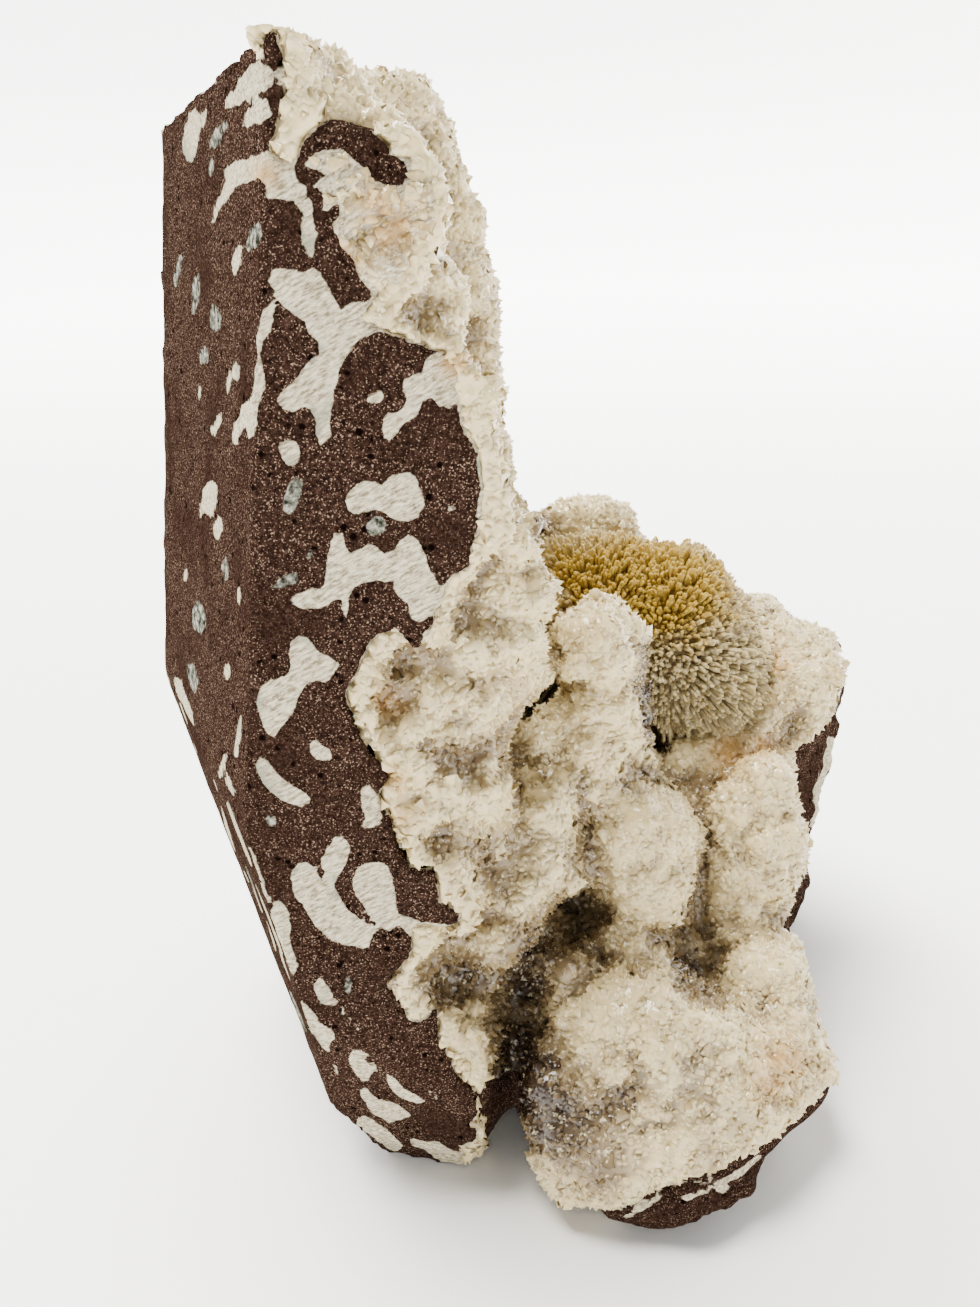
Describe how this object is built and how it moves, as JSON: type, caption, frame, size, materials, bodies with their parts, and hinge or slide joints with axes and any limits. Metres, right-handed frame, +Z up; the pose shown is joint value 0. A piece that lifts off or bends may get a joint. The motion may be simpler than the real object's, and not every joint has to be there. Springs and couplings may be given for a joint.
{
  "type": "scolecite on chalcedony mineral specimen",
  "caption": "Upright block of dark basalt with a broken-open cavity lined in lumpy, glittering chalcedony and quartz, holding a radiating ball of scolecite needles; stands free for display.",
  "frame": {"origin": "on the ground under the middle of the block, at the height of the flat underside it stands on", "axes": "+Z up, the way the specimen stands; -Y is the front, where the tall wall shows its narrow flat face; the wall is at -X and the crystal-lined cavity opens to +X"},
  "size_m": [0.1559, 0.1466, 0.2017],
  "materials": {
    "basalt": "matt dark mauve-brown vesicular basalt with flush white and grey-green amygdales; worn flat faces",
    "chalcedony": "milky cream to white, slightly translucent, set all over with small glittering quartz points",
    "scolecite": "silky translucent needles, amber stained on top and cream to white at the tips and underneath"
  },
  "bodies": {
    "root": {"basalt_matrix": "basalt", "chalcedony_quartz_crust": "chalcedony", "scolecite_spray": "scolecite"}
  },
  "joints": []
}
